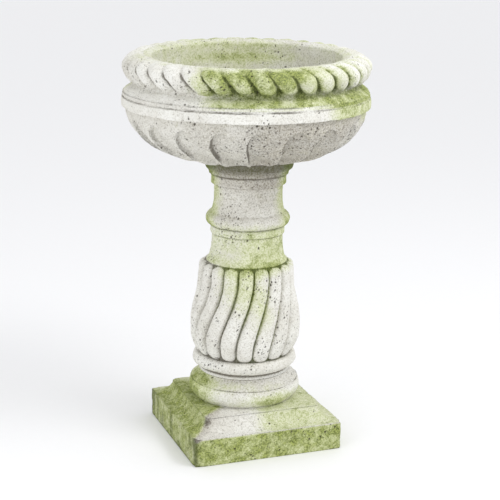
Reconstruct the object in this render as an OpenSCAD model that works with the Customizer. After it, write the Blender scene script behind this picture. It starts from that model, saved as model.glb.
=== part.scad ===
// Cast-stone bird bath: a square plinth, a baluster column and a deep bowl with a rope rim.
// The three castings are stacked dry on two steel pins, so the column and the bowl lift off and turn.
// Origin: centre of the plinth's underside. +Z up, and the plinth's faces are square to X and Y.

/* [Plinth] */
// Side of the square slab
slab_side = 320; // [300:1:340]
// Height of the slab's upright faces
slab_h = 58; // [40:1:62]
// Side of the flat on top of the cavetto
tier_side = 248; // [244:1:256]
// Height of the underside of the big base torus
tier_z = 88; // [84:1:90]
// Largest radius of the base torus
torus_r = 118; // [112:1:120]
// Height of the bed joint between plinth and column
bed_z = 147; // [146:0.5:148]

/* [Column] */
// Radius of the ring that the ribbed bulb stands on
ring_r = 110; // [104:1:114]
// Largest radius of the bulb, over the ribs
bulb_r = 117; // [112:1:122]
// Height of the bulb's widest place
bulb_z = 238; // [232:1:244]
// Number of ribs round the bulb
ribs = 18; // [14:1:22]
// Depth of the grooves between the ribs
rib_depth = 9; // [4:0.5:11]
// How far each rib sweeps round between its top and its foot, in degrees
rib_sweep = 20; // [0:1:30]
// Height of the rounded tops of the ribs
rib_top_z = 380; // [376:1:386]
// Radius of the neck
neck_r = 72; // [68:1:74]
// Radius of the torus on the neck
neck_torus_r = 87; // [84:1:90]

/* [Bowl] */
// Height of the seat joint between column and bowl
seat_z = 594; // [592:1:596]
// Radius of the band, the widest part of the bowl
band_r = 251; // [246:1:254]
// Height of the band's lower edge
band_z = 699; // [696:1:702]
// Radius of the opening
opening_r = 189; // [180:1:192]
// Height of the rim's top
rim_z = 815; // [810:1:820]
// Radius of the rope's round section
rope_r = 35; // [32:1:36]
// Number of lobes round the rope
lobes = 35; // [28:1:40]
// Depth of the rope's grooves
rope_depth = 8; // [4:0.5:10]
// Number of scoops round the underside
scoops = 20; // [16:1:24]
// Depth of the scoops
scoop_depth = 7; // [3:0.5:9]
// Height of the basin's floor
floor_z = 640; // [632:1:648]

/* [Steel] */
// Radius of the two locating pins
pin_r = 8; // [6:0.5:10]
// Length of each locating pin
pin_len = 60; // [40:1:64]
// Radial clearance of a pin in its sockets
pin_clearance = 0.08; // [0.03:0.01:0.1]
// Radius of the column's reinforcing bars
bar_r = 4; // [3:0.5:5]
// Radius of the circle that the bars stand on
bar_circle_r = 44; // [40:1:46]
// Radius of the ties and of the bowl's hoops
wire_r = 2.5; // [2:0.5:3]

/* [Hidden] */
$fn = 96;

stone = "lightgray";
steel = "slategray";
eps = 0.01;

// Plinth
cavetto_r = tier_z - slab_h;
base_torus_r = 26;
torus_sink = 2;
base_torus_z = tier_z - torus_sink + base_torus_r;
torus_step_z = base_torus_z + 14;
tier_root_h = 5;
bed_r = 96;
bed_lip_h = 3;

// Column
rib_foot_z = 184.5;
core_foot_z = rib_foot_z + 3;
drum_r = neck_r + 6;
ring_tube_r = 13;
ring_z = 171;
rib_samples = 8;
rib_shares = [0, 0.04, 0.12, 0.24, 0.36, 0.48, 0.6, 0.72, 0.84, 0.94, 1];
rib_end_depth = 0.3;
rib_end_rise = 4;
bulb_draw_in = 17;
shoulder_reach = 1.35;
top_draw_in = 14;
top_roundness = 14;
foot_draw_in = 16;
foot_roundness = 2.2;
shelf_z = rib_top_z + 8;
fillet_r = neck_r + 4;
low_fillet_z = 438;
low_fillet_h = 18;
neck_torus_z = 469;
neck_tube_r = 15;
neck_step_z = 484;
neck_step_h = 8;
high_fillet_z = 541;
high_fillet_h = 22;
collar_r = 91;
collar_z = 562;
collar_cove_r = 13;
bar_count = 3;
bar_bottom_z = 262;
bar_len = 250;
tie_r = bar_circle_r + bar_r + wire_r + 0.5;
tie_heights = [275, 385, 495];

// Bowl
rope_z = rim_z - rope_r;
rope_circle_r = band_r - 1 - rope_r;
rope_samples = 4;
rope_rows = 12;
rope_twist = 2;
scoop_samples = 7;
scoop_rows = 9;
scoop_foot = 0.12;
scoop_spring = 0.6;
scoop_rise = 0.3;
scoop_half = 0.46;
scoop_sweep = 8;
seat_r = 92;
belly_r = 243;
belly_top_z = band_z + 3;
band_lip_h = 22;
shoulder_z = band_z + 31;
rope_foot_r = 226;
rope_foot_z = band_z + 48;
rim_core_r = 205;
basin_corner_r = 60;
socket_depth = pin_len / 2 + 2;
hoop_z = rope_z;
belly_hoop_r = 216;
belly_hoop_z = 690;
wire_circle_r = 207;
wire_bottom_z = 668;
wire_len = 118;
wires = 10;

// One ring of points at height z, its radius given for each of n places
function ring_points(radii, z, turn) =
    let (n = len(radii))
    [for (i = [0:n - 1]) let (a = 360 * i / n + turn) [radii[i] * cos(a), radii[i] * sin(a), z]];

// The faces between neighbouring rings of n points, as triangles
function skin_faces(rows, n) =
    [for (j = [0:rows - 2], i = [0:n - 1])
        let (k = (i + 1) % n, a = j * n, b = a + n)
        each [[a + i, b + i, a + k], [a + k, b + i, b + k]]];

// A closed solid through a stack of rings, each with the same number of points, lowest first
module ring_stack(rings) {
    n = len(rings[0]);
    last = (len(rings) - 1) * n;
    floor_face = [for (i = [0:n - 1]) i];
    top_face = [for (i = [n - 1:-1:0]) last + i];
    polyhedron([for (ring = rings) each ring],
               concat(skin_faces(len(rings), n), [floor_face], [top_face]));
}

// A closed tube through rings that come back to the first one, met there with the points moved on by shift
module ring_loop(rings, shift) {
    n = len(rings[0]);
    rows = len(rings);
    seam = (rows - 1) * n;
    seam_faces = [for (i = [0:n - 1])
        let (k = (i + 1) % n, b = (i + n - shift) % n, c = (k + n - shift) % n)
        each [[seam + i, b, seam + k], [seam + k, b, c]]];
    polyhedron([for (ring = rings) each ring], concat(skin_faces(rows, n), seam_faces));
}

// A steel pin's socket, opened a little at the joint face
module socket(mouth_z, depth, down) {
    translate([0, 0, down ? mouth_z - depth : mouth_z - eps])
        cylinder(r = pin_r + pin_clearance, h = depth + eps);
}

module base_casting() {
    color(stone)
    difference() {
        union() {
            translate([0, 0, slab_h / 2])
                cube([slab_side, slab_side, slab_h], center = true);
            plinth_tier();
            rotate_extrude()
                base_torus_section();
        }
        socket(bed_z, socket_depth, true);
    }
}

// Section of the cavetto tier, mirrored about the plinth's middle
module tier_section() {
    half = tier_side / 2;
    difference() {
        translate([-half - cavetto_r, slab_h - tier_root_h])
            square([2 * (half + cavetto_r), cavetto_r + tier_root_h]);
        for (side = [-1, 1])
            translate([side * (half + cavetto_r), tier_z])
                circle(r = cavetto_r);
    }
}

// The tier: two crossed runs of the same section, mitred at the corners
module plinth_tier() {
    run = tier_side + 2 * cavetto_r;
    intersection() {
        rotate([90, 0, 0])
            linear_extrude(run, center = true)
                tier_section();
        rotate([90, 0, 90])
            linear_extrude(run, center = true)
                tier_section();
    }
}

// Section of the base torus and of the sloping collar that carries the bed joint
module base_torus_section() {
    tube_x = torus_r - base_torus_r;
    translate([tube_x, base_torus_z])
        circle(r = base_torus_r);
    translate([0, tier_z - torus_sink])
        square([tube_x, base_torus_r]);
    polygon([[0, base_torus_z], [tube_x, base_torus_z], [torus_r - 5, torus_step_z],
             [bed_r, bed_z - bed_lip_h], [bed_r, bed_z], [0, bed_z]]);
}

// Radius over the ribs' crests at a share t of the way from their feet to their tops. Above its widest
// place the bulb draws in to its shoulder, which the ribs reach early, and then rounds over at their tops.
function crest_r(t) =
    let (z = rib_foot_z + t * (rib_top_z - rib_foot_z),
         up = max(0, (z - bulb_z) / (rib_top_z - bulb_z)),
         down = max(0, (bulb_z - z) / (bulb_z - rib_foot_z)),
         to_shoulder = pow(sin(90 * min(1, up * shoulder_reach)), 2),
         over_top = pow(up, top_roundness),
         to_foot = pow(down, foot_roundness))
    bulb_r - bulb_draw_in * to_shoulder - top_draw_in * over_top - foot_draw_in * to_foot;

// Share of the crest's height at a place u across one rib, 0 in the groove and 1 on the crest
function rib_height(u) = sqrt(max(0, sin(180 * u)));

// The ribbed shell: each ring turns a little, so that the ribs sweep in an S from foot to top
module rib_shell() {
    n = ribs * rib_samples;
    ring_stack([for (t = rib_shares)
        let (z = rib_foot_z + t * (rib_top_z - rib_foot_z),
             to_end = min(t, 1 - t),
             drop = rib_depth * min(1, rib_end_depth + rib_end_rise * to_end),
             turn = rib_sweep * (1 - cos(180 * t)) / 2)
        ring_points([for (i = [0:n - 1]) let (u = (i % rib_samples) / rib_samples)
                        crest_r(t) - drop * (1 - rib_height(u))], z, turn)]);
}

// A plain round stretch of the column's section: its radius, its foot and its top
module shaft(r, foot, top) {
    translate([0, foot])
        square([r, top - foot]);
}

// Section of the column from the bed joint to the seat, apart from the ribs
module column_section() {
    neck_torus_x = neck_torus_r - neck_tube_r;
    difference() {
        union() {
            shaft(bed_r, bed_z, core_foot_z);
            translate([ring_r - ring_tube_r, ring_z])
                circle(r = ring_tube_r);
            shaft(drum_r, ring_z, shelf_z);
            shaft(neck_r + 1, rib_top_z, low_fillet_z + low_fillet_h);
            shaft(fillet_r, low_fillet_z, low_fillet_z + low_fillet_h);
            translate([neck_torus_x, neck_torus_z])
                circle(r = neck_tube_r);
            shaft(neck_torus_x, neck_torus_z - neck_tube_r, neck_torus_z + neck_tube_r);
            shaft(fillet_r, neck_step_z, neck_step_z + neck_step_h);
            shaft(neck_r - 1, neck_step_z, high_fillet_z + 1);
            shaft(fillet_r, high_fillet_z, high_fillet_z + high_fillet_h);
            shaft(collar_r, collar_z, seat_z);
        }
        translate([collar_r + 2, collar_z - 2])
            circle(r = collar_cove_r);
    }
}

module column_casting() {
    color(stone)
    difference() {
        union() {
            rotate_extrude()
                column_section();
            rib_shell();
        }
        socket(bed_z, socket_depth, false);
        socket(seat_z, socket_depth, true);
        bar_set();
        tie_set();
    }
}

module bar_set() {
    for (i = [0:bar_count - 1])
        rotate(360 * i / bar_count)
            translate([bar_circle_r, 0, bar_bottom_z])
                cylinder(r = bar_r, h = bar_len);
}

module column_bars() {
    color(steel)
        bar_set();
}

module tie_set() {
    for (z = tie_heights)
        translate([0, 0, z])
            rotate_extrude()
                translate([tie_r, 0])
                    circle(r = wire_r);
}

module column_ties() {
    color(steel)
        tie_set();
}

module base_pin() {
    color(steel)
        translate([0, 0, bed_z - pin_len / 2])
            cylinder(r = pin_r, h = pin_len);
}

module bowl_pin() {
    color(steel)
        translate([0, 0, seat_z - pin_len / 2])
            cylinder(r = pin_r, h = pin_len);
}

// Radius of the rope's section at a place u across one lobe, 0 and 1 being the grooves
function rope_tube(u) = rope_r - rope_depth * (1 - sqrt(max(0, sin(180 * u))));

// The rope: rings round the bowl that turn with the strands, from the hidden inner side out and over
module rope_rim() {
    n = lobes * rope_samples;
    ring_loop([for (j = [0:rope_rows - 1])
        let (b = 360 * j / rope_rows - 180, turn = -rope_twist * 360 / lobes * j / rope_rows)
        [for (i = [0:n - 1])
            let (r = rope_tube((i % rope_samples) / rope_samples),
                 x = rope_circle_r + r * cos(b),
                 a = 360 * i / n + turn)
            [x * cos(a), x * sin(a), rope_z + r * sin(b)]]],
        rope_twist * rope_samples);
}

// Depth of a scoop at a share t of the way up the belly and a place u across the scoop, from -0.5 to 0.5.
// Its sides run up side by side to where its round head springs from.
function scoop_cut(t, u) =
    let (arch = t < scoop_spring ? 1 : sqrt(max(0, 1 - pow((t - scoop_spring) / scoop_rise, 2))),
         half = scoop_half * arch,
         foot = min(1, t / scoop_foot))
    half < 0.05 ? 0 : scoop_depth * foot * max(0, 1 - pow(u / half, 2));

// The scooped belly: a quarter ellipse turned round the axis, with the scoops sunk into it
module belly() {
    n = scoops * scoop_samples;
    ring_stack([for (j = [0:scoop_rows])
        let (t = j / scoop_rows, q = 90 * t, turn = -scoop_sweep * t)
        [for (i = [0:n - 1])
            let (u = ((i % scoop_samples) + 0.5) / scoop_samples - 0.5,
                 cut = scoop_cut(t, u),
                 x = seat_r + (belly_r - seat_r) * sin(q) - cut * sin(q),
                 a = 360 * (i + 0.5) / n + turn)
            [x * cos(a), x * sin(a), belly_top_z - (belly_top_z - seat_z) * cos(q) + cut * cos(q)]]]);
}

// Section of the bowl's band and of the shoulder that runs on up inside the rope
module rim_section() {
    shoulder_r = band_r - 2;
    slope = (rope_foot_z - shoulder_z) / (shoulder_r - rope_foot_r);
    core_z = rope_foot_z + slope * (rope_foot_r - rim_core_r);
    translate([0, band_z])
        square([band_r, band_lip_h]);
    translate([0, band_z])
        square([shoulder_r, shoulder_z - band_z]);
    polygon([[0, shoulder_z - eps], [shoulder_r, shoulder_z - eps], [shoulder_r, shoulder_z],
             [rim_core_r, core_z], [0, core_z]]);
}

// Section of the basin, down to its rounded floor
module basin_section() {
    turn_in = opening_r - basin_corner_r;
    translate([0, floor_z])
        square([turn_in, basin_corner_r]);
    translate([turn_in, floor_z + basin_corner_r])
        circle(r = basin_corner_r);
    translate([0, floor_z + basin_corner_r])
        square([opening_r, rim_z]);
}

module bowl_casting() {
    color(stone)
    difference() {
        union() {
            belly();
            rotate_extrude()
                rim_section();
            rope_rim();
        }
        rotate_extrude()
            basin_section();
        socket(seat_z, socket_depth, false);
        rim_hoop_wire();
        belly_hoop_wire();
        wire_set();
    }
}

// A round hoop of wire about the axis
module hoop(r, z) {
    translate([0, 0, z])
        rotate_extrude()
            translate([r, 0])
                circle(r = wire_r);
}

module rim_hoop_wire() {
    hoop(rope_circle_r, hoop_z);
}

module rim_hoop() {
    color(steel)
        rim_hoop_wire();
}

module belly_hoop_wire() {
    hoop(belly_hoop_r, belly_hoop_z);
}

module belly_hoop() {
    color(steel)
        belly_hoop_wire();
}

// Straight wires down the wall, just inside the two hoops
module wire_set() {
    for (i = [0:wires - 1])
        rotate(360 * i / wires)
            translate([wire_circle_r, 0, wire_bottom_z])
                cylinder(r = wire_r, h = wire_len);
}

module bowl_wires() {
    color(steel)
        wire_set();
}

base_casting();
base_pin();
column_casting();
column_bars();
column_ties();
bowl_pin();
bowl_casting();
rim_hoop();
belly_hoop();
bowl_wires();
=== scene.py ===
"""A weathered cast-stone bird bath: plinth, ribbed column and rope-rimmed bowl, stacked dry on two pins."""

import math

import bpy
import numpy as np
from mathutils import Matrix, Vector


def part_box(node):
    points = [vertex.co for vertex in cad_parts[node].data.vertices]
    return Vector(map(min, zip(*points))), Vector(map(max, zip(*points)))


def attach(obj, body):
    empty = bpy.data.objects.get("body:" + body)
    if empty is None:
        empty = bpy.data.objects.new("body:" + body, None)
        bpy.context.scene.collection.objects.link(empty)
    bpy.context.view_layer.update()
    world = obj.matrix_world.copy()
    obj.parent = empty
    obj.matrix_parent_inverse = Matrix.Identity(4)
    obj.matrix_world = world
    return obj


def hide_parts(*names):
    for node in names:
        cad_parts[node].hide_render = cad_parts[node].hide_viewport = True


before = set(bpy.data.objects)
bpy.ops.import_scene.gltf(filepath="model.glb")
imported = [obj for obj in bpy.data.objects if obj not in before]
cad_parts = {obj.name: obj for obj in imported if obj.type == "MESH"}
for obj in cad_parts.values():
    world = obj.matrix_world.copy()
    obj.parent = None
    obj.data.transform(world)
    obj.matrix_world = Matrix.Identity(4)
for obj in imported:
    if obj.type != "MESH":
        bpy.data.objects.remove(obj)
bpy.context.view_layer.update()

MM = 0.001

# Heights and radii that the frame fixes, in millimetres
SLAB_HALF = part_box("base_casting")[1].x / MM
BED_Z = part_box("base_casting")[1].z / MM
COLUMN_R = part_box("column_casting")[1].x / MM
SEAT_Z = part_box("column_casting")[1].z / MM
BAND_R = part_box("bowl_casting")[1].x / MM
RIM_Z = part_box("bowl_casting")[1].z / MM
PIN_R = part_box("base_pin")[1].x / MM
PIN_DEPTH = SEAT_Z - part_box("bowl_pin")[0].z / MM

# What the stone keeps clear of the joint faces and the pins
JOINT_GAP = 0.2
SOCKET_R = PIN_R + 0.1
SOCKET_SPARE = 2

# The small hole that the outlines leave at the axis, and the least width that a shape is divided by
AXIS_R = 0.5
TINY = 1e-3

# How far the weathered stone lies inside the outlines, on average
WORN_AWAY = 1.1

# The bearing, round the axis, of the side that faces the camera
FRONT = -110.0


# ---------------------------------------------------------------- outlines

def line(start, end, rows):
    """Points from start up to end, without the last one, as (radius, height)."""
    share = np.linspace(0, 1, rows, endpoint=False)[:, None]
    return np.array(start, float) * (1 - share) + np.array(end, float) * share


def arc(centre, size, first, last, rows):
    """Points on an ellipse's arc, from the first angle to the last in degrees, without the last one."""
    angle = np.radians(np.linspace(first, last, rows, endpoint=False))
    size = np.broadcast_to(size, 2)
    return np.stack([centre[0] + size[0] * np.cos(angle), centre[1] + size[1] * np.sin(angle)], 1)


def curve(points, rows):
    """A smooth curve through a few points, without the last one, evenly spaced along its length."""
    points = np.array(points, float)
    padded = np.vstack([2 * points[0] - points[1], points, 2 * points[-1] - points[-2]])
    t = np.linspace(0, 1, 24, endpoint=False)[:, None]
    fine = []
    for a, b, c, d in zip(padded, padded[1:], padded[2:], padded[3:]):
        fine.append(0.5 * (2 * b + (c - a) * t + (2 * a - 5 * b + 4 * c - d) * t**2
                           + (3 * b - a - 3 * c + d) * t**3))
    fine = np.vstack([*fine, points[-1:]])
    length = np.concatenate([[0], np.cumsum(np.hypot(*np.diff(fine, axis=0).T))])
    at = np.linspace(0, length[-1], rows, endpoint=False)
    return np.stack([np.interp(at, length, fine[:, 0]), np.interp(at, length, fine[:, 1])], 1)


def ramp(value, low, high):
    """0 below low, 1 above high and a smooth rise between them."""
    share = np.clip((value - low) / (high - low), 0, 1)
    return share * share * (3 - 2 * share)


# ---------------------------------------------------------------- rough surfaces

def lattice(cell, seed):
    """A repeatable number from 0 to 1 for each whole-numbered cell."""
    mixed = (cell[..., 0] * 73856093) ^ (cell[..., 1] * 19349663) ^ (cell[..., 2] * 83492791)
    mixed = (mixed + seed * 2654435761) & 0xFFFFFFFF
    mixed = ((mixed ^ (mixed >> 15)) * 2246822519) & 0xFFFFFFFF
    mixed = ((mixed ^ (mixed >> 13)) * 3266489917) & 0xFFFFFFFF
    return ((mixed ^ (mixed >> 16)) & 0xFFFFFF) / float(0xFFFFFF)


def noise(points, size, seed):
    """Smooth noise from -1 to 1, with lumps about size across."""
    place = points / size
    cell = np.floor(place).astype(np.int64)
    share = place - cell
    share = share * share * (3 - 2 * share)
    total = np.zeros(points.shape[:-1])
    for corner in np.ndindex(2, 2, 2):
        weight = np.prod(np.where(corner, share, 1 - share), axis=-1)
        total += weight * lattice(cell + np.array(corner), seed)
    return 2 * total - 1


def pits(points, size, share, radius, seed):
    """1 in the middle of small round pits and 0 outside them.
    The cells are size across, and the share says how many of them hold a pit."""
    place = points / size
    cell = np.floor(place).astype(np.int64)
    deepest = np.zeros(points.shape[:-1])
    for step in np.ndindex(3, 3, 3):
        near = cell + np.array(step) - 1
        middle = np.stack([near[..., k] + lattice(near, seed + k) for k in range(3)], -1)
        distance = np.linalg.norm(place - middle, axis=-1) * size
        held = lattice(near, seed + 7) < share
        own = radius * (0.5 + lattice(near, seed + 9))
        deepest = np.maximum(deepest, np.where(held, 1 - (distance / own) ** 2, 0))
    return np.clip(deepest, 0, 1)


def grid_normals(points):
    """Outward normals of a grid of rows by columns that closes on itself along the columns."""
    along = np.gradient(points, axis=0)
    across = np.roll(points, -1, axis=1) - np.roll(points, 1, axis=1)
    normal = np.cross(across, along)
    return normal / np.maximum(np.linalg.norm(normal, axis=-1, keepdims=True), 1e-9)


def weather(points, keep, pit_share, roughness):
    """A grid's points moved as stone weathers, by soft lumps, fine roughness and pits, and the pits' depth.
    keep is 0 where nothing may move, as at the joint faces."""
    normal = grid_normals(points)
    rough = (1.0 * noise(points, 46, 1) + 0.7 * noise(points, 17, 2)
             + 0.5 * noise(points, 7, 3) + 0.32 * noise(points, 3.4, 4)) * roughness
    drift = pit_share * (0.1 + 1.7 * ramp(noise(points, 55, 5), 0.0, 0.55))
    holes = 2.0 * pits(points, 8, drift, 1.7, 11) + 1.2 * pits(points, 5, drift, 1.1, 31)
    move = (rough - holes - WORN_AWAY) * keep
    return points + normal * move[..., None], np.clip(holes, 0, 1)


def bearing_of(angle):
    """Degrees round from the side that faces the camera, from -180 to 180, positive to its right."""
    return (np.degrees(angle) - FRONT + 180) % 360 - 180


def patch(bearing, height, where, at, spread):
    """A soft patch, 1 in its middle: where is its bearing, at its height, and spread its two half sizes."""
    round_by = ((bearing - where + 180) % 360 - 180) / spread[0]
    up_by = (height - at) / spread[1]
    return np.exp(-(round_by**2 + up_by**2))


def stripe(height, at, spread):
    """A soft stripe all round, 1 at its own height."""
    return np.exp(-((height - at) / spread) ** 2)


# ---------------------------------------------------------------- castings

class Casting:
    """A casting's surface: rows of points along its outline by columns round its axis, in millimetres.

    The outline is a list of named parts. What is worked out for each row is kept as one column, so that it
    spreads over the columns by itself."""

    def __init__(self, outline, columns):
        section = np.vstack([points for _, points in outline])
        self.part = np.concatenate([[name] * len(points) for name, points in outline])
        self.share = np.arange(columns) / columns
        self.angle = np.radians(FRONT) + 2 * np.pi * self.share
        self.radius = np.repeat(section[:, :1], columns, 1)
        self.height = np.repeat(section[:, 1:], columns, 1)

    def on(self, *names):
        """True in the rows of the named parts."""
        return np.isin(self.part, names)[:, None]

    def through(self, name):
        """0 in the rows before the named part, 1 after it, and the share of the way through it between."""
        rows = np.flatnonzero(self.part == name)
        return np.interp(np.arange(len(self.part)), [rows[0], rows[-1]], [0, 1])[:, None]

    def turn(self, degrees):
        """Turns each row about the axis."""
        self.angle = self.angle + np.radians(degrees)

    def bearing(self):
        """Where each point stands, seen from the camera's side."""
        return bearing_of(self.angle)

    def place(self):
        """The points' x, y and z."""
        x = self.radius * np.cos(self.angle)
        y = self.radius * np.sin(self.angle)
        return np.stack([x, y, self.height], -1)

    def mesh(self, name, points, layers):
        """A closed mesh from the rows and columns of points, with each layer as a point attribute."""
        rows, columns = self.height.shape
        index = np.arange(rows * columns).reshape(rows, columns)
        right = np.roll(index, -1, axis=1)
        quads = np.stack([index[:-1], right[:-1], right[1:], index[1:]], -1).reshape(-1, 4)
        ends = [index[0][::-1].tolist(), index[-1].tolist()]

        mesh = bpy.data.meshes.new(name)
        mesh.from_pydata((points.reshape(-1, 3) * MM).tolist(), [], quads.tolist() + ends)
        for layer, values in layers.items():
            values = np.broadcast_to(np.clip(values, 0, 1), (rows, columns))
            attribute = mesh.attributes.new(layer, "FLOAT", "POINT")
            attribute.data.foreach_set("value", values.astype(np.float32).ravel())
        mesh.shade_smooth()
        mesh.validate()

        piece = bpy.data.objects.new(name, mesh)
        bpy.context.scene.collection.objects.link(piece)
        return piece


def socket_over(face):
    """A pin's socket above a joint face, from the middle of its closed end to its mouth."""
    end = face + PIN_DEPTH + SOCKET_SPARE
    return np.vstack([line((AXIS_R, end), (SOCKET_R, end), 3), line((SOCKET_R, end), (SOCKET_R, face), 8)])


def socket_under(face):
    """A pin's socket below a joint face, from its mouth to the middle of its closed end."""
    end = face - PIN_DEPTH - SOCKET_SPARE
    return np.vstack([line((SOCKET_R, face), (SOCKET_R, end), 8), line((SOCKET_R, end), (AXIS_R, end), 3)])


# ---------------------------------------------------------------- the bowl

# The outline: the flat seat, the belly, the foot of the band and the basin
SEAT_R = 92.0
BELLY_R = 243.0
BAND_Z = RIM_Z - 116
OPENING_R = 189.0
BASIN_Z = RIM_Z - 175
BASIN_CORNER = 60.0

# The rope: angles are round its own section, from level outwards, and the rim dips from DIP_H below its top
LOBES = 35
LOBE_COLUMNS = 20
LOBE_SHIFT = 0.68
ROPE_R = 35.0
ROPE_FOOT = -68.0
ROPE_END = 106.0
ROPE_TWIST = 1.9
ROPE_DEPTH = 10.0
ROPE_SWELL = 1.2
DIP_H = 45.0
DIP = 8.0
DIP_TILT = 7.0

# The scoops: spring and rise place their round tops, as shares of the way up the belly, and half is their
# half width as a share of their spacing
SCOOPS = 20
SCOOP_SHIFT = 0.77
SCOOP_DEPTH = 11.0
SCOOP_SWEEP = 8.0
SCOOP_SPRING = 0.6
SCOOP_RISE = 0.27
SCOOP_HALF = 0.42


def bowl_outline():
    """From the socket, out under the belly, over the rope and down to the basin's floor."""
    seat = SEAT_Z + JOINT_GAP
    rope = (BAND_R - 1 - ROPE_R, RIM_Z - ROPE_R)
    corner_r = OPENING_R - BASIN_CORNER
    return [
        ("socket", socket_over(seat)),
        ("seat", line((SOCKET_R, seat), (SEAT_R, seat), 10)),
        ("belly", arc((SEAT_R, BAND_Z + 3), (BELLY_R - SEAT_R, BAND_Z + 3 - seat), -90, 0, 62)),
        ("band", curve([(BELLY_R, BAND_Z + 1.5), (BELLY_R + 3, BAND_Z + 0.4),
                        (BAND_R - 1.5, BAND_Z + 0.6), (BAND_R - 0.2, BAND_Z + 2.5),
                        (BAND_R, BAND_Z + 10), (BAND_R - 0.6, BAND_Z + 20)], 18)),
        ("band", curve([(BAND_R - 1, BAND_Z + 21.5), (BAND_R - 3.2, BAND_Z + 22.6),
                        (BAND_R - 2.2, BAND_Z + 24), (BAND_R - 2.2, BAND_Z + 29),
                        (BAND_R - 4.2, BAND_Z + 31)], 12)),
        ("shoulder", curve([(BAND_R - 3.6, BAND_Z + 32), (BAND_R - 12, BAND_Z + 39),
                            (BAND_R - 23, BAND_Z + 46), (BAND_R - 26, BAND_Z + 48.5)], 16)),
        ("rope", arc(rope, ROPE_R, ROPE_FOOT, ROPE_END, 78)),
        ("basin", curve([(rope[0] - 10, RIM_Z - 1.6), (OPENING_R + 7, RIM_Z - 5),
                         (OPENING_R + 1.5, RIM_Z - 8), (OPENING_R, RIM_Z - 11.5),
                         (OPENING_R, RIM_Z - 18), (OPENING_R + 0.8, RIM_Z - 30),
                         (OPENING_R + 1.5, RIM_Z - 50), (OPENING_R + 0.5, BASIN_Z + BASIN_CORNER)], 40)),
        ("floor", arc((corner_r, BASIN_Z + BASIN_CORNER), BASIN_CORNER, 0, -90, 16)),
        ("floor", line((corner_r, BASIN_Z), (AXIS_R, BASIN_Z), 14)),
    ]


def scoop_shape(up, across):
    """How deep a scoop is at a share up the belly and a place across it, from 0 at its left edge to 1.
    It has a round top and a steep wall on its left, and fades to its right. Also gives its edge line, which
    is darkened later as painted shade with some grime."""
    top = np.sqrt(np.clip(1 - ((up - SCOOP_SPRING) / SCOOP_RISE) ** 2, 0, 1))
    arch = np.where(up < SCOOP_SPRING, 1, top)
    half = np.maximum(SCOOP_HALF * arch, TINY)
    inside = 1 - ((across - 0.5) / half) ** 2
    wall = ramp(inside, 0, 0.85 - 0.6 * ramp(up, 0.2, 0.45))
    tilt = 1 - 0.6 * ramp(across, 0.3, 1.0) * ramp(up, 0.15, 0.5)
    shown = ramp(up, 0.02, 0.14) * (arch > 0.02)
    edge = ramp(inside, -0.15, 0.05) * (1 - ramp(inside, 0.08, 0.4))
    edge = edge * shown * (1 - ramp(across, 0.5, 0.8)) * ramp(up, 0.25, 0.5)
    return wall * tilt * shown * (1.25 - 0.25 * ramp(up, 0.2, 0.5)), edge


def sink_scoops(bowl, up):
    """Sinks the scoops along the belly's own normal, and gives their edge lines."""
    depth, edge = scoop_shape(up, (bowl.share * SCOOPS + SCOOP_SHIFT) % 1)
    depth = SCOOP_DEPTH * depth * bowl.on("belly")
    slope = np.radians(90 * up)
    bowl.radius = bowl.radius - depth * np.sin(slope)
    bowl.height = bowl.height + depth * np.cos(slope)
    return edge


def sink_strands(bowl, round_rope):
    """Cuts the rope's grooves, worn away over its top and round its left.
    Gives the grooves, which also carry algae and painted shade, and the narrow lines along their middles,
    which carry painted shade."""
    lobe = (bowl.share * LOBES + LOBE_SHIFT) % 1
    valley = 1 - np.sin(np.pi * lobe) ** 0.4
    worn_left = 0.75 + 0.25 * ramp(bowl.bearing(), -48, -8) * (1 - ramp(bowl.bearing(), 150, 178))
    over_top = (1 - 0.95 * ramp(round_rope, 72, ROPE_END)) * bowl.on("rope")
    groove = valley * over_top * worn_left
    below_crown = ROPE_SWELL * (bowl.on("rope") - np.sin(np.pi * lobe) * over_top)
    drop = ROPE_DEPTH * groove * (1 + 0.5 * ramp(round_rope, 15, -40)) + below_crown
    bowl.radius = bowl.radius - drop * np.cos(np.radians(round_rope))
    bowl.height = bowl.height - drop * np.sin(np.radians(round_rope))
    return groove, ramp(valley, 0.25, 0.75) * ramp(round_rope, 60, 5) * bowl.on("rope")


def dip_rim(bowl):
    """Lowers the rim, most of all on the camera's side."""
    above = np.maximum(bowl.height - (RIM_Z - DIP_H), 0) * bowl.on("rope", "basin")
    dip = DIP + DIP_TILT * np.cos(np.radians(bowl.bearing()))
    bowl.height = bowl.height - above * dip / DIP_H


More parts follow.
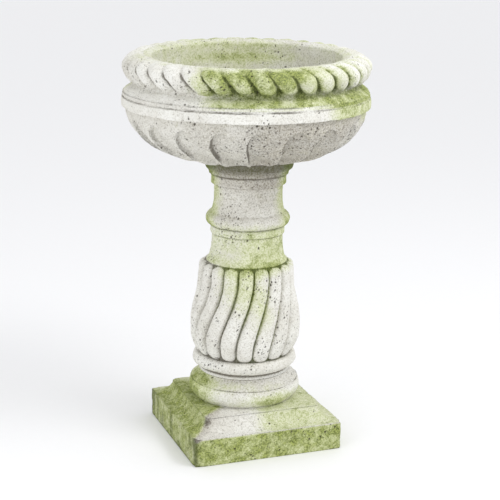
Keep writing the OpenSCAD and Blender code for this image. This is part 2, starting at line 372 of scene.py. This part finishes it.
def bowl_layers(bowl, points, up, round_rope, groove, gap_shade, scoop_edge):
    """Where the bowl is green, dirty and darkened by painted shade. The green side is the camera's right.
    """
    bearing = bowl.bearing()
    height = bowl.height
    belly, band, shoulder = bowl.on("belly"), bowl.on("band"), bowl.on("shoulder")
    rope, inside = bowl.on("rope"), bowl.on("basin", "floor")
    not_back = 1 - ramp(bearing, 100, 150)
    round_back = ramp(np.abs(bearing), 110, 150)
    green_side = ramp(bearing, -26, -12) * (1 - ramp(bearing, 96, 130))
    # pinch: the crevice under the rope, darkened as painted shade
    pinch = ramp(round_rope, -28, -62) * rope + ramp(height, RIM_Z - 78, RIM_Z - 69) * shoulder
    # Painted shade lines along the band's small steps and under the shoulder
    step_shade = (stripe(height, RIM_Z - 85, 2.6) + stripe(height, RIM_Z - 94, 1.8)
             + 0.5 * stripe(height, BAND_Z, 1.2)) * band + 0.8 * stripe(height, RIM_Z - 84, 2) * shoulder

    algae_rope = (0.95 * ramp(bearing, -34, -12) * (1 - 0.7 * ramp(bearing, 4, 66)) * not_back
                  * (1 - 0.6 * ramp(round_rope, 40, 90))
                  + 0.28 * patch(bearing, round_rope, -66, 70, (30, 40)) + 0.22 * ramp(round_rope, 60, 95)
                  + 0.6 * groove * green_side + 0.5 * round_back) * (0.98 + 0.36 * noise(points, 24, 61))
    algae_shoulder = (0.85 * green_side + 0.45 * patch(bearing, height, -88, 735, (12, 20))
                      + 0.5 * round_back) * (1.0 + 0.3 * noise(points, 30, 62))
    algae_band = (0.75 * ramp(bearing, 32, 48) * (1 - ramp(bearing, 100, 130))
                  + 0.4 * green_side * (height > RIM_Z - 92) + 0.4 * round_back)
    algae_belly = 0.5 * ramp(up, 0.75, 1.0) * ramp(bearing, 58, 75) * not_back + 0.1
    algae_inside = (0.42 + 0.4 * patch(bearing, height, 178, 775, (40, 12))
                    - 0.3 * patch(bearing, height, 138, 770, (26, 80))
                    + 0.25 * patch(bearing, height, 180, 800, (60, 8)))
    algae = (rope * algae_rope + shoulder * algae_shoulder + band * algae_band
             + belly * algae_belly + inside * algae_inside)

    dirt_belly = (0.3 + 0.3 * ramp(bearing, -50, -10) * not_back
                  + 0.6 * ramp(bearing, -8, 20) * (1 - ramp(bearing, 44, 70)))
    dirt_and_shade = (belly * dirt_belly + inside * 0.25 + 0.12 * pinch + 0.5 * groove
            + 0.3 * band * (1 - green_side) * (height > RIM_Z - 96)
            + 0.35 * rope * patch(bearing, round_rope, -74, 0, (14, 60)))

    # Painted shade on the belly: along the scoops' edges and at its foot over the collar, with a darker
    # patch right of the front
    belly_shade = (0.4 * patch(bearing, height, 26, 660, (22, 45)) + 0.5 * ramp(up, 0.16, 0.02)
                    + 1.25 * scoop_edge * (0.6 + 0.4 * ramp(bearing, -35, -8)))
    # Painted shade also in the rope's crevice, grooves and gaps and along the band's steps
    shade_and_grime = (belly * belly_shade + 0.7 * pinch * green_side + 0.5 * ramp(groove, 0.25, 0.85) + 1.1 * gap_shade
              + step_shade * (0.62 + 0.4 * noise(points, 30, 51)))
    return {"algae": algae, "dirt_and_shade": dirt_and_shade, "shade_and_grime": shade_and_grime}


def make_bowl():
    bowl = Casting(bowl_outline(), LOBES * LOBE_COLUMNS)
    up = bowl.through("belly")
    along_rope = (ROPE_END - ROPE_FOOT) * bowl.through("rope")
    round_rope = ROPE_FOOT + along_rope
    bowl.turn(-SCOOP_SWEEP * up - ROPE_TWIST / LOBES * along_rope)
    scoop_edge = sink_scoops(bowl, up)
    groove, gap_shade = sink_strands(bowl, round_rope)
    dip_rim(bowl)

    belly = bowl.on("belly")
    keep = (1 - bowl.on("socket", "seat")) * np.where(belly, ramp(up, 0.0, 0.12), 1)
    points, pit = weather(bowl.place(), keep, 0.25 + 0.7 * belly, 1.15 + 0.5 * belly)
    layers = bowl_layers(bowl, points, up, round_rope, groove, gap_shade, scoop_edge)
    return bowl.mesh("bowl_stone", points, {**layers, "pit": pit})


# ---------------------------------------------------------------- the column

# The ribs: heights are above the bed, and each is highest at RIB_PEAK of the way across
RIBS = 18
RIB_COLUMNS = 34
RIB_SHIFT = 0.5
RIB_PEAK = 0.56
RIB_WIDTH = 0.97
RIB_SWEEP = 20.0
RIB_TOP = 232.0
RIB_FOOT = 37.5
RIB_TOP_H = 10.0
RIB_FOOT_H = 14.0
RIB_ROUND = 2.4

# The rest of the outline, and how far the top leans
BED_R = 95.0
DRUM_R = 77.0
COLLAR_R = 91.0
LEAN = 6.5

# Radius over the ribs, and of the core they stand on, by height above the bed
CREST = [(RIB_FOOT, 96), (41, 101), (48, 105.5), (57, 110), (72, 115), (88, COLUMN_R),
         (108, COLUMN_R - 0.5), (136, 111.5), (156, 106.5), (175, 103), (205, 101), (218, 100.3),
         (225, 98.6), (230, 94), (RIB_TOP, 90)]
CORE = [(RIB_FOOT, 93), (60, 97), (90, 103), (150, 93.5), (207, 88.5), (224, 88), (235, 84)]


def column_outline():
    """From the foot's socket, up over the ring, ribs, drum, neck and collar, to the top's socket.
    Heights given as bare numbers are above the ground."""
    bed = BED_Z + JOINT_GAP
    top = SEAT_Z - JOINT_GAP
    rib_top = BED_Z + RIB_TOP
    return [
        ("socket", socket_over(bed)),
        ("bed", line((SOCKET_R, bed), (BED_R, bed), 10)),
        ("ring", line((BED_R, bed), (95.5, bed + 9), 5)),
        ("ring", arc((97, bed + 24), (13, 13.5), -88, 84, 26)),
        ("ribs", line((98.4, BED_Z + RIB_FOOT), (84, rib_top + 3), 104)),
        ("drum", curve([(84, rib_top + 4), (79.5, rib_top + 10), (DRUM_R, rib_top + 18),
                        (74.5, rib_top + 30), (73.2, 434), (73.4, 437.2)], 24)),
        ("drum", curve([(74.6, 438), (76.6, 438.8), (DRUM_R, 441), (DRUM_R, 451), (76.6, 454.4),
                        (75.2, 455.4)], 12)),
        ("neck", arc((72, SEAT_Z - 125), (15.6, 15), -72, 66, 22)),
        ("neck", curve([(78.4, 482.7), (77, 483.6), (76.2, 485), (73.4, 493), (71.6, 504), (71, 522),
                        (71.6, 540)], 28)),
        ("collar", curve([(73.6, 540.6), (77, 541.6), (78, 543.6), (77.6, 552), (78, 559.6)], 12)),
        ("collar", curve([(78.4, 561.6), (81.6, 562.6), (82.2, 566), (84.4, 571), (88.6, 574.5),
                          (90.8, 580), (COLLAR_R, 588), (COLLAR_R, top - 1)], 20)),
        ("top", line((COLLAR_R, top), (SOCKET_R, top), 10)),
        ("socket", socket_under(top)),
    ]


def raise_ribs(column, above):
    """Stands the ribs on their core, with round ends, and gives the grooves between them."""
    place = (column.share * RIBS + RIB_SHIFT) % 1
    side = np.where(place < RIB_PEAK, RIB_PEAK, 1 - RIB_PEAK)
    across = np.abs(place - RIB_PEAK) / side
    to_top = np.clip((above - RIB_TOP + RIB_TOP_H) / RIB_TOP_H, 0, 1)
    to_foot = np.clip((RIB_FOOT + RIB_FOOT_H - above) / RIB_FOOT_H, 0, 1)
    to_end = np.maximum(to_top, to_foot)
    width = RIB_WIDTH * np.clip(1 - to_end**RIB_ROUND, 0, 1) ** (1 / RIB_ROUND)
    body = np.clip(1 - (across / np.maximum(width, TINY)) ** 3, 0, 1) ** 0.55
    crest = np.interp(above, *zip(*CREST))
    core = np.interp(above, *zip(*CORE))
    ribbed = core + (crest - core) * body * np.minimum(1, 0.7 + 0.6 * width)
    column.radius = np.where(column.on("ribs"), ribbed, column.radius)
    return np.where(column.on("ribs"), (1 - body) ** 2, 0)


def column_layers(column, groove):
    """Where the column is green, dirty and darkened by painted shade."""
    bearing = column.bearing()
    height = column.height
    # Painted shade: lines at the creases, the recess under the ring, and the collar in the bowl's shade
    crease_shade = (stripe(height, 455.6, 2.8) + stripe(height, 437.6, 2.0) + 0.6 * stripe(height, 541, 1.5)
              + 0.7 * stripe(height, 562, 1.6) + 0.45 * stripe(height, 483.6, 1.4)
              + 0.6 * stripe(height, 186, 2.5))
    recess_shade = ramp(height, BED_Z + 3, BED_Z + 7) * (1 - ramp(height, BED_Z + 11, BED_Z + 15))
    shaded_under_bowl = ramp(height, 545, 588)
    not_back = 1 - ramp(bearing, 100, 150)
    sides = ramp(np.abs(bearing), 38, 74) * (1 - 0.6 * ramp(np.abs(bearing), 105, 145))

    drum_foot = 1 - ramp(height, BED_Z + RIB_TOP, BED_Z + RIB_TOP + 24)
    algae_drum = 0.5 + 0.2 * ramp(bearing, -20, 10) * (1 - ramp(bearing, 120, 160)) + 0.12 * drum_foot
    algae_ribs = (0.42 * ramp(height, BED_Z + 207, BED_Z + RIB_TOP) * ramp(bearing, -60, -10) * not_back
                  + 0.45 * ramp(groove, 0.15, 0.8) * (0.5 + 0.5 * ramp(bearing, -25, 10) * not_back)
                  + 0.62 * patch(bearing, height, -4, 345, (34, 60))
                  + 0.35 * patch(bearing, height, 20, 285, (14, 44))
                  + 0.15 * ramp(np.abs(bearing), 90, 130))
    algae = (column.on("drum") * algae_drum + column.on("ribs") * algae_ribs + column.on("ring") * 0.12
             + column.on("collar") * (0.75 * sides + 0.1 + 0.2 * shaded_under_bowl)
             + column.on("neck") * (0.6 * sides + 0.12 + 0.35 * stripe(height, 458, 14)))

    dirt_and_shade = (ramp(height, 486, 520) * (0.08 + 0.32 * ramp(bearing, -20, 25) * not_back)
            + 0.55 * ramp(height, 532, 548) + 0.3 * shaded_under_bowl + 0.2 * column.on("neck") + 0.35 * groove
            + 0.5 * crease_shade + 0.1 + 0.5 * recess_shade)
    # Painted shade in the rib grooves, creases, recess, under the bowl and under the collar's lip; the dirt
    # layer above carries some of it too
    shade_and_grime = (1.1 * ramp(groove, 0.2, 0.9) + 0.9 * crease_shade + 1.1 * recess_shade + 0.85 * shaded_under_bowl
              + 0.2 * ramp(height, 536, 544))
    return {"algae": algae, "dirt_and_shade": dirt_and_shade, "shade_and_grime": shade_and_grime}


def make_column():
    column = Casting(column_outline(), RIBS * RIB_COLUMNS)
    above = column.height[:, :1] - BED_Z
    rise = np.clip((above - RIB_FOOT) / (RIB_TOP - RIB_FOOT), 0, 1)
    column.turn(RIB_SWEEP * (0.5 - 0.5 * np.cos(np.pi * np.clip((rise - 0.08) / 0.8, 0, 1))))
    groove = raise_ribs(column, above)

    # The column was set a touch out of plumb, to the camera's right
    lean = LEAN * np.clip(above / (SEAT_Z - BED_Z), 0, 1) * ramp(column.radius, 25, 60)
    points = column.place()
    points[..., 0] -= lean * math.sin(math.radians(FRONT))
    points[..., 1] += lean * math.cos(math.radians(FRONT))

    bed = BED_Z + JOINT_GAP
    top = SEAT_Z - JOINT_GAP
    keep = (1 - column.on("socket", "bed", "top")) * ramp(column.height, bed, bed + 3)
    keep = keep * (1 - ramp(column.height, top - 4, top))
    points, pit = weather(points, keep, 0.5, 0.8)
    return column.mesh("column_stone", points, {**column_layers(column, groove), "pit": pit})


# ---------------------------------------------------------------- the plinth

PLINTH_COLUMNS = 920
SLAB_H = 58.0
TIER_HALF = 124.0
TIER_Z = 88.0
CAVETTO_R = 30.0
TORUS_SIZE = 26.0
TORUS_R = COLUMN_R - 25
TORUS_Z = TIER_Z - 2 + TORUS_SIZE

# How sharp the square's corners are, which parts are round, and where the nearest corner stands
CORNER_POWER = 60
ROUND_PARTS = ("ledge", "torus", "bed", "socket")
ARRIS_BEARING = -25


def plinth_outline():
    """From under the slab, up over its edge, the cavetto, the tier and the torus, to the socket."""
    top = BED_Z - JOINT_GAP
    return [
        ("under", line((1, 0), (SLAB_HALF - 2, 0), 14)),
        ("slab", curve([(SLAB_HALF - 2, 0), (SLAB_HALF - 0.4, 1.2), (SLAB_HALF, 6), (SLAB_HALF, SLAB_H - 6),
                        (SLAB_HALF - 0.8, SLAB_H - 1.6), (SLAB_HALF - 3, SLAB_H)], 52)),
        ("cavetto", arc((TIER_HALF + CAVETTO_R, TIER_Z), CAVETTO_R, -84, -180, 40)),
        ("tier", arc((TIER_HALF - 2.5, TIER_Z - 2), 2.5, 0, 90, 4)),
        ("tier", line((TIER_HALF - 2.5, TIER_Z + 0.5), (TORUS_R + 18, TIER_Z + 0.8), 6)),
        ("ledge", line((TORUS_R + 16, TIER_Z + 0.8), (TORUS_R + 12, TIER_Z + 1), 3)),
        ("torus", arc((TORUS_R, TORUS_Z), TORUS_SIZE, -62, 33, 40)),
        ("torus", curve([(TORUS_R + 22, TORUS_Z + 14.6), (TORUS_R + 20.4, TORUS_Z + 16),
                         (TORUS_R + 12, TORUS_Z + 23), (TORUS_R + 5.5, TORUS_Z + 30)], 18)),
        ("torus", curve([(TORUS_R + 4.6, TORUS_Z + 31), (TORUS_R + 3, TORUS_Z + 32.5), (94, top)], 6)),
        ("bed", line((94, top), (SOCKET_R, top), 10)),
        ("socket", socket_under(top)),
    ]


def square_up(plinth):
    """The points, with every row but the round parts' made square, and how near each is to a corner."""
    x, y = np.cos(plinth.angle), np.sin(plinth.angle)
    size = (np.abs(x) ** CORNER_POWER + np.abs(y) ** CORNER_POWER) ** (-1 / CORNER_POWER)
    near = np.minimum(np.abs(x), np.abs(y)) / np.maximum(np.abs(x), np.abs(y))
    reach = plinth.radius * np.where(plinth.on(*ROUND_PARTS), 1, size)
    return np.stack([reach * x, reach * y, plinth.height], -1), near


def wear_arrises(plinth, points, near):
    """Wears the arrises back, most of all at the corner that faces the camera.
    Gives the points, the corners, the front corner and the chips."""
    corner = ramp(near, 0.86, 1.0) * (1 - plinth.on("under", *ROUND_PARTS))
    front = corner * ramp(-np.abs(plinth.bearing() - ARRIS_BEARING), -12, -3)
    rim = stripe(plinth.height, SLAB_H, 3.5) * plinth.on("slab")
    chips = ramp(noise(points, 15, 21) + 0.5 * noise(points, 6, 22), 0.1, 0.7)
    worn = corner * (1.0 + 2.5 * chips) + 1.6 * rim * chips + 4.5 * front * stripe(plinth.height, 66, 12)
    flat = points * np.array([1, 1, 0])
    inward = -flat / np.maximum(np.linalg.norm(flat, axis=-1, keepdims=True), 1)
    return points + inward * worn[..., None], corner, front, chips


def plinth_layers(plinth, points, corner, front, chips):
    """Where the plinth is green, dirty and darkened by painted shade. Its left face, as the camera sees it,
    is the darkest, partly by painted shade.
    """
    bearing = plinth.bearing()
    height = plinth.height
    slab, torus = plinth.on("slab"), plinth.on("torus")
    cavetto = plinth.on("cavetto", "tier", "ledge")
    # The left face, away from the key light: darkened as painted shade, and also given dirt, streaks and
    # algae
    left_side = ramp(bearing, -19, -31) * ramp(bearing, -121, -109)
    pale = ramp(bearing, -31, -19) * (1 - ramp(bearing, 0, 26))
    streaks = ramp(noise(points * np.array([1, 1, 0.15]), 12, 41), -0.1, 0.6) * left_side
    blotches = ramp(noise(points, 44, 43), 0.0, 0.6)
    recess_shade = ramp(height, TORUS_Z + 32.5, TORUS_Z + 34)
    arris = stripe(height, SLAB_H, 2.2) * (1 - left_side)

    algae_torus = (0.95 * patch(bearing, height, -72, 112, (40, 60))
                   + 0.8 * patch(bearing, height, 34, 102, (34, 17))
                   + 0.25 * patch(bearing, height, -10, 134, (60, 8))
                   + 0.1 + 0.5 * ramp(np.abs(bearing), 95, 140))
    algae = (slab * (0.9 - 0.1 * left_side - 0.7 * arris) + torus * algae_torus
             + cavetto * (0.65 - 0.6 * pale + 0.25 * left_side))
    algae = algae * (1 - 0.92 * front * ramp(height, 48, 56))

    dirt_and_shade = (slab * (0.45 + 0.55 * left_side + 0.7 * corner) + 0.35 * torus * ramp(height, 116, 128)
            + cavetto * (0.1 + 0.9 * left_side + 0.5 * patch(bearing, height, ARRIS_BEARING, 80, (7, 14)))
            + 0.12 + 0.4 * recess_shade)

    # Painted shade on the slab: on its left face, at its foot by the floor and left of the front arris;
    # with streaks and blotches of stain
    slab_shade_and_stain = (0.3 * streaks + 0.3 * blotches + 0.15 + 0.3 * left_side + 0.4 * (1 - ramp(height, 0, 5))
                   + 0.9 * corner * ramp(bearing, -20, -27))
    # Painted shade along the torus's creases
    torus_shade = (0.6 * stripe(height, TIER_Z + 1.5, 1.6)
                    + stripe(height, TORUS_Z + 15, 1.5) * (0.7 + 0.5 * noise(points, 20, 44)))
    # Painted shade also in the recess under the column's ring, with darker chips at the front arris
    shade_and_grime = (slab * slab_shade_and_stain + torus * torus_shade + 0.45 * cavetto * left_side + 0.85 * recess_shade
              + 0.12 * stripe(height, TORUS_Z + 14.8, 1.2)
              + 0.8 * chips * patch(bearing, height, ARRIS_BEARING, 78, (3.5, 9)))
    return {"algae": algae, "dirt_and_shade": dirt_and_shade, "shade_and_grime": shade_and_grime}


def make_plinth():
    plinth = Casting(plinth_outline(), PLINTH_COLUMNS)
    points, near = square_up(plinth)
    points, corner, front, chips = wear_arrises(plinth, points, near)
    top = BED_Z - JOINT_GAP
    keep = (1 - plinth.on("under", "bed", "socket")) * ramp(plinth.height, 0, 2.5)
    keep = keep * (1 - ramp(plinth.height, top - 4, top))
    points, pit = weather(points, keep, 0.3, 0.9)
    points[..., 2] = np.maximum(points[..., 2], 0)
    layers = plinth_layers(plinth, points, corner, front, chips)
    return plinth.mesh("plinth_stone", points, {**layers, "pit": pit})


# ---------------------------------------------------------------- materials

class Nodes:
    """Short calls that add and join shader nodes in one material."""

    def __init__(self, name):
        self.material = bpy.data.materials.new(name)
        self.material.use_nodes = True
        self.tree = self.material.node_tree
        self.shader = self.tree.nodes["Principled BSDF"]

    def add(self, kind, inputs=None, **settings):
        node = self.tree.nodes.new(kind)
        for key, value in settings.items():
            setattr(node, key, value)
        for key, value in (inputs or {}).items():
            self.put(node.inputs[key], value)
        return node

    def put(self, socket, value):
        if isinstance(value, bpy.types.NodeSocket):
            self.tree.links.new(value, socket)
        else:
            socket.default_value = value

    def layer(self, name):
        return self.add("ShaderNodeAttribute", attribute_name=name).outputs["Fac"]

    def place(self):
        return self.add("ShaderNodeTexCoord").outputs["Object"]

    def noise(self, place, scale, detail=4.0, rough=0.6):
        inputs = {"Vector": place, "Scale": scale, "Detail": detail, "Roughness": rough}
        return self.add("ShaderNodeTexNoise", inputs).outputs["Fac"]

    def wobble(self, place, scale, size):
        """The same places, each moved a little, which makes round shapes ragged."""
        inputs = {"Vector": place, "Scale": scale, "Detail": 2.0}
        shift = self.add("ShaderNodeTexNoise", inputs).outputs["Color"]
        moved = self.add("ShaderNodeVectorMath", {0: shift, 1: (size, size, size), 2: place},
                         operation="MULTIPLY_ADD")
        return moved.outputs[0]

    def cells(self, place, scale):
        return self.add("ShaderNodeTexVoronoi", {"Vector": place, "Scale": scale}).outputs

    def math(self, operation, a, b):
        return self.add("ShaderNodeMath", {0: a, 1: b}, operation=operation).outputs[0]

    def ramp(self, value, low, high, to_low=0.0, to_high=1.0):
        inputs = {"Value": value, "From Min": low, "From Max": high, "To Min": to_low, "To Max": to_high}
        return self.add("ShaderNodeMapRange", inputs, interpolation_type="SMOOTHSTEP").outputs["Result"]

    def mix(self, share, a, b):
        node = self.add("ShaderNodeMix", data_type="RGBA")
        self.put(node.inputs[0], share)
        self.put(node.inputs[6], a)
        self.put(node.inputs[7], b)
        return node.outputs[2]

    def surface(self, inputs):
        for key, value in inputs.items():
            self.put(self.shader.inputs[key], value)

    def bump(self, height, strength, distance):
        node = self.add("ShaderNodeBump", {"Height": height, "Strength": strength, "Distance": distance})
        self.surface({"Normal": node.outputs["Normal"]})


def pit_mask(n, place, scale, share, drift):
    """1 inside the dark pits: a share of the cells hold one, of a size that differs from cell to cell."""
    largest = 0.34
    cell = n.cells(place, scale)
    without = n.math("SUBTRACT", 1.0, n.math("MULTIPLY", drift, share))
    return n.math("LESS_THAN", cell["Distance"], n.ramp(cell["Color"], without, 1.0, 0, largest))


def stone_material(name, pit_amount):
    """Off-white cast stone with grey weathering, black pits, green algae and painted shade, where the
    mesh's layers say.
    """
    n = Nodes(name)
    place = n.place()
    ragged = n.wobble(place, 180, 0.004)
    algae, dirt_and_shade, shade_and_grime, pit = (n.layer(layer) for layer in ("algae", "dirt_and_shade", "shade_and_grime", "pit"))
    broad = n.noise(place, 12, 4, 0.6)
    patchy = n.noise(place, 45, 6, 0.7)
    speckle = n.noise(place, 300, 5, 0.8)
    grain = n.noise(place, 700, 2, 0.6)

    # The stone itself, with thin grey and beige weathering
    colour = n.mix(n.ramp(broad, 0.35, 0.65), (0.87, 0.87, 0.82, 1), (0.76, 0.75, 0.69, 1))
    colour = n.mix(n.ramp(patchy, 0.45, 0.75, 0, 0.7), colour, (0.90, 0.895, 0.87, 1))
    # The dirt layer holds real dirt and also painted shade: in crevices, grooves, creases and recesses,
    # under the bowl and on the plinth's left face. The dark grit below follows it too.
    dirt_and_shade_share = n.math("MULTIPLY", dirt_and_shade, n.ramp(n.math("ADD", patchy, speckle), 0.75, 1.25, 0.45, 1.0))
    soil_and_shade_colour = n.mix(n.ramp(patchy, 0.35, 0.65), (0.30, 0.27, 0.215, 1), (0.55, 0.52, 0.45, 1))
    colour = n.mix(dirt_and_shade_share, colour, soil_and_shade_colour)
    colour = n.mix(n.ramp(speckle, 0.49, 0.64, 0.0, 0.5), colour, (0.28, 0.25, 0.19, 1))
    grit = n.ramp(n.math("ADD", speckle, n.math("MULTIPLY", grain, 0.5)), 0.74, 0.92, 0, 0.75)
    colour = n.mix(n.math("MULTIPLY", dirt_and_shade, grit), colour, (0.10, 0.08, 0.06, 1))
    colour = n.mix(n.ramp(grain, 0.3, 0.7, 0.0, 0.16), colour, (0.30, 0.26, 0.20, 1))

    # Algae spreads where its layer, roughened by the noise, passes a threshold
    lumpy = n.math("MULTIPLY", n.math("SUBTRACT", patchy, 0.5), 0.85)
    fine = n.math("SUBTRACT", speckle, 0.5)
    spread = n.ramp(n.math("ADD", algae, n.math("ADD", lumpy, fine)), 0.12, 0.95, 0, 0.93)
    thick = n.ramp(n.math("ADD", n.math("MULTIPLY", algae, 0.6), patchy), 0.82, 1.16)
    pale = n.mix(n.ramp(speckle, 0.38, 0.62), (0.66, 0.69, 0.38, 1), (0.42, 0.48, 0.17, 1))
    deep = n.mix(n.ramp(speckle, 0.40, 0.60), (0.37, 0.43, 0.09, 1), (0.10, 0.13, 0.02, 1))
    colour = n.mix(spread, colour, n.mix(thick, pale, deep))

    # Painted shade in the creases, grooves and recesses, with some real grime; dark green where the algae
    # is
    shade_grime_colour = n.mix(n.ramp(algae, 0.1, 0.6), (0.075, 0.062, 0.04, 1), (0.05, 0.065, 0.012, 1))
    colour = n.mix(n.ramp(n.math("ADD", shade_and_grime, fine), 0.25, 1.15, 0, 0.85), colour, shade_grime_colour)

    # Pits: the mesh's own and many finer ones, more of them in some areas than in others
    drift = n.math("MULTIPLY", n.ramp(n.noise(place, 22, 4, 0.6), 0.46, 0.64, 0.08, 1.0), pit_amount)
    holes = n.math("MAXIMUM", pit_mask(n, ragged, 260, 0.5, drift), pit_mask(n, ragged, 120, 0.4, drift))
    holes = n.math("MAXIMUM", n.math("MULTIPLY", holes, 0.85), n.ramp(pit, 0.2, 0.7))
    colour = n.mix(n.math("MULTIPLY", holes, 0.85), colour, (0.06, 0.05, 0.035, 1))

    n.surface({"Base Color": colour, "Roughness": n.ramp(patchy, 0.3, 0.7, 0.82, 0.95),
               "Specular IOR Level": 0.3})
    height = n.math("ADD", n.math("MULTIPLY", grain, 0.3), n.math("MULTIPLY", speckle, 0.6))
    height = n.math("ADD", height, n.math("MULTIPLY", patchy, 0.6))
    n.bump(n.math("SUBTRACT", height, holes), 0.75, 0.0014)
    return n.material


def steel_material():
    """Dull galvanised bar with a spangle and a few rust stains."""
    n = Nodes("galvanised_steel")
    place = n.place()
    spangle = n.cells(place, 240)["Color"]
    stain = n.ramp(n.noise(place, 45, 5, 0.65), 0.52, 0.72)
    colour = n.mix(0.12, (0.52, 0.53, 0.54, 1), spangle)
    colour = n.mix(stain, colour, (0.30, 0.15, 0.07, 1))
    n.surface({"Base Color": colour, "Metallic": n.ramp(stain, 0, 1, 0.9, 0.15),
               "Roughness": n.ramp(n.noise(place, 160), 0.3, 0.7, 0.38, 0.6)})
    n.bump(n.noise(place, 420), 0.3, 0.0004)
    return n.material


def floor_material():
    """Matt studio paper."""
    n = Nodes("studio_paper")
    colour = n.mix(n.noise(n.place(), 60, 3), (0.90, 0.90, 0.905, 1), (0.92, 0.92, 0.925, 1))
    n.surface({"Base Color": colour, "Roughness": 0.9})
    return n.material


# ---------------------------------------------------------------- putting it together

def add_castings():
    pieces = [(make_plinth(), "plinth", "base_casting", 0.5),
              (make_column(), "column", "column_casting", 0.9),
              (make_bowl(), "bowl", "bowl_casting", 1.5)]
    for piece, body, node, pit_amount in pieces:
        piece.data.materials.append(stone_material(piece.name, pit_amount))
        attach(piece, body)
        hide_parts(node)


def dress_steel():
    steel = steel_material()
    for name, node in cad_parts.items():
        if not name.endswith("_casting"):
            node.data.materials.clear()
            node.data.materials.append(steel)


def add_floor():
    size = 40.0
    mesh = bpy.data.meshes.new("floor")
    corners = [(-size, -size, 0), (size, -size, 0), (size, size, 0), (-size, size, 0)]
    mesh.from_pydata(corners, [], [(0, 1, 2, 3)])
    floor = bpy.data.objects.new("floor", mesh)
    bpy.context.scene.collection.objects.link(floor)
    mesh.materials.append(floor_material())


def aim(thing, place, target):
    direction = np.array(target, float) - np.array(place, float)
    thing.location = place
    thing.rotation_euler = Vector(direction).to_track_quat("-Z", "Y").to_euler()


def add_light(name, bearing, elevation, distance, size, power):
    """A soft square light, placed by its bearing from the camera's side, aimed at the object's middle."""
    target = (0, 0, RIM_Z * MM / 2)
    turn = math.radians(FRONT + bearing)
    up = math.radians(elevation)
    place = (distance * math.cos(turn) * math.cos(up), distance * math.sin(turn) * math.cos(up),
             target[2] + distance * math.sin(up))
    lamp = bpy.data.lights.new(name, "AREA")
    lamp.size = size
    lamp.energy = power
    light = bpy.data.objects.new(name, lamp)
    bpy.context.scene.collection.objects.link(light)
    aim(light, place, target)


def add_lights():
    world = bpy.data.worlds.new("studio")
    bpy.context.scene.world = world
    world.use_nodes = True
    background = world.node_tree.nodes["Background"].inputs
    background["Color"].default_value = (0.98, 0.985, 1.0, 1)
    background["Strength"].default_value = 0.95
    add_light("key", bearing=62, elevation=48, distance=2.6, size=1.0, power=23)
    add_light("fill", bearing=-40, elevation=8, distance=2.8, size=1.4, power=12)
    bpy.context.scene.view_settings.view_transform = "Standard"


def add_camera():
    """Above the rim, looking down at the column a little right of the plinth's corner."""
    data = bpy.data.cameras.new("camera")
    data.sensor_width = 36
    data.lens = 96.24
    camera = bpy.data.objects.new("camera", data)
    bpy.context.scene.collection.objects.link(camera)
    bpy.context.scene.camera = camera
    distance, height = 2.673, 1.1047
    yaw, pitch, roll = math.radians(0.1625), math.radians(14.811), math.radians(0.656)
    turn = math.radians(FRONT)
    sideways = 0.0027
    camera.location = (distance * math.cos(turn) - sideways * math.sin(turn),
                       distance * math.sin(turn) + sideways * math.cos(turn), height)
    camera.rotation_mode = "XYZ"
    look = Matrix.Rotation(turn + math.pi / 2 - yaw, 4, "Z") @ Matrix.Rotation(math.pi / 2 - pitch, 4, "X")
    camera.rotation_euler = (look @ Matrix.Rotation(roll, 4, "Z")).to_euler()


add_castings()
dress_steel()
add_floor()
add_lights()
add_camera()
